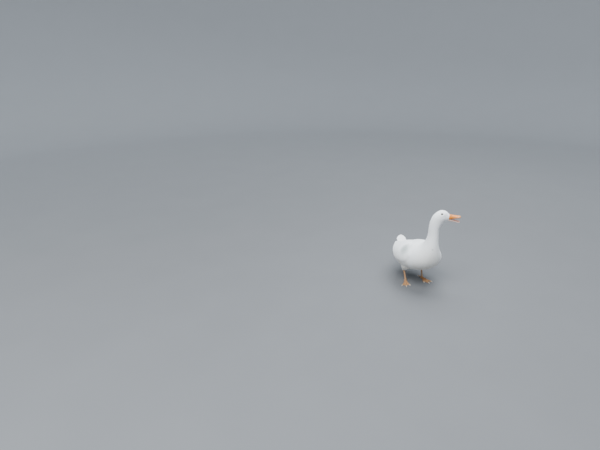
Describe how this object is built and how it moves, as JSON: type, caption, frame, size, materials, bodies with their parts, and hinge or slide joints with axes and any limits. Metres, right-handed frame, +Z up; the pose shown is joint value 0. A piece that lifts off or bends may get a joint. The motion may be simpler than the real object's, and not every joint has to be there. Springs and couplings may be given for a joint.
{
  "type": "pekin duck",
  "caption": "White pekin duck, life size and still, standing with its breast raised, its head turned to the left and its orange bill open.",
  "frame": {"origin": "middle of the model's box, on the floor under the soles", "axes": "+X forward along the trunk, +Y the animal's left, +Z up"},
  "size_m": [0.4322, 0.2272, 0.4554],
  "materials": {
    "plumage": "soft matt white feather",
    "bill": "satin orange skin over horn",
    "lower_bill": "satin pink and orange skin",
    "tongue": "moist pink skin",
    "eye": "wet dark eye",
    "leg_skin": "matt scaled orange skin",
    "claw": "pale horn"
  },
  "bodies": {
    "root": {"bill_lower": "lower_bill", "bill_upper": "bill", "claw_left_hind": "claw", "claw_left_inner": "claw", "claw_left_middle": "claw", "claw_left_outer": "claw", "claw_right_hind": "claw", "claw_right_inner": "claw", "claw_right_middle": "claw", "claw_right_outer": "claw", "eye_left": "eye", "eye_right": "eye", "foot_left": "leg_skin", "foot_right": "leg_skin", "head": "plumage", "neck": "plumage", "shank_left": "leg_skin", "shank_right": "leg_skin", "tail": "plumage", "thigh_left": "plumage", "thigh_right": "plumage", "tongue": "tongue", "torso": "plumage", "wing_left": "plumage", "wing_right": "plumage"}
  },
  "joints": []
}
